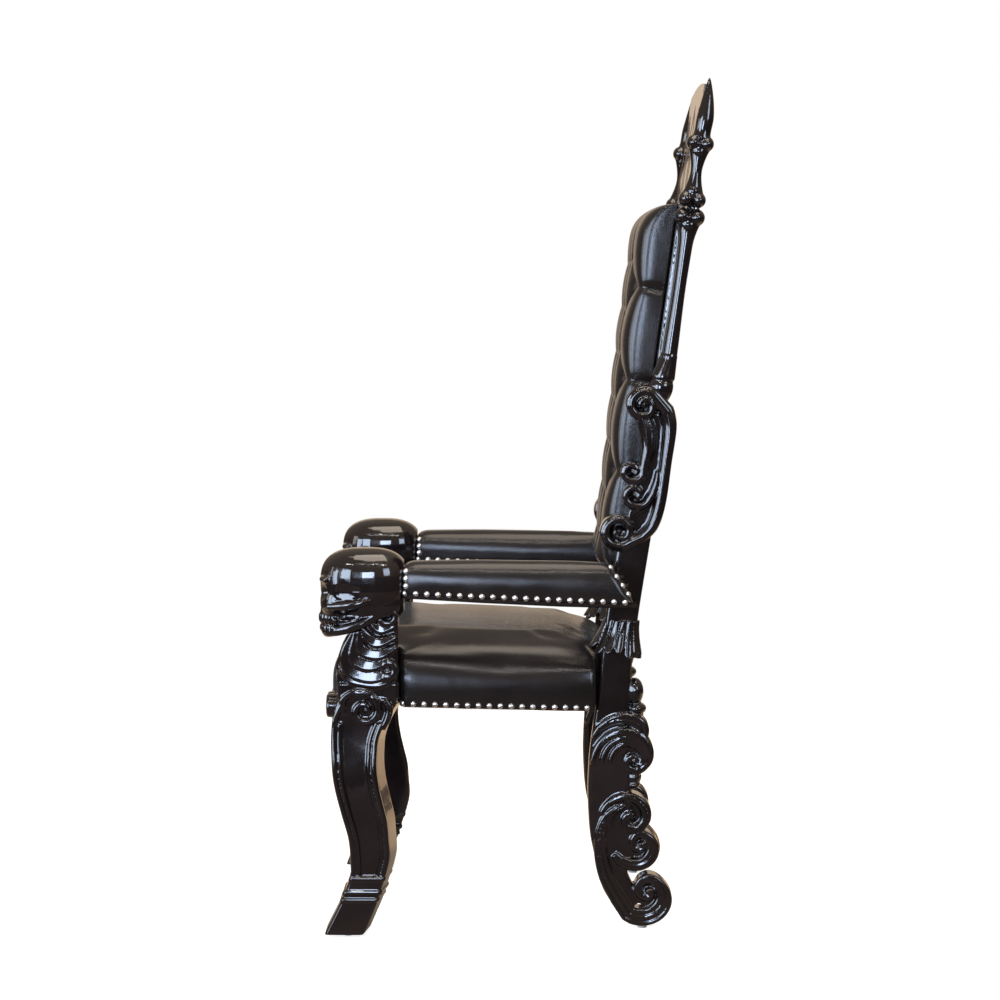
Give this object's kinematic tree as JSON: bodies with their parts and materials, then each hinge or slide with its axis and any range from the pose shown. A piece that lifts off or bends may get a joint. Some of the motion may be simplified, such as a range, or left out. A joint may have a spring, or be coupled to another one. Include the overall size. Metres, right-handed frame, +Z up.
{
  "type": "carved throne armchair",
  "caption": "High-back carved throne with bone-shaped posts ending in claws, skull hand rests, scrolled legs, and a leather seat, arms and buttoned back.",
  "frame": {"origin": "on the floor, under the middle of the throne's bounding box", "axes": "+Z up, -Y the way the sitter faces, +X the sitter's left"},
  "size_m": [0.808, 0.812, 1.7792],
  "materials": {
    "lacquer": "gloss black lacquer",
    "leather": "semi-gloss black",
    "glide": "matte"
  },
  "bodies": {
    "root": {"rear_post_left": "lacquer", "rear_post_right": "lacquer", "front_leg_left": "lacquer", "front_leg_right": "lacquer", "skull_left": "lacquer", "skull_right": "lacquer", "arm_rail_left": "lacquer", "arm_rail_right": "lacquer", "arm_pad_left": "leather", "arm_pad_right": "leather", "glide_front_left": "glide", "glide_front_right": "glide", "glide_rear_left": "glide", "glide_rear_right": "glide", "seat": "leather", "back_panel": "lacquer", "back_cushion": "leather", "crest_panel": "lacquer"}
  },
  "joints": []
}
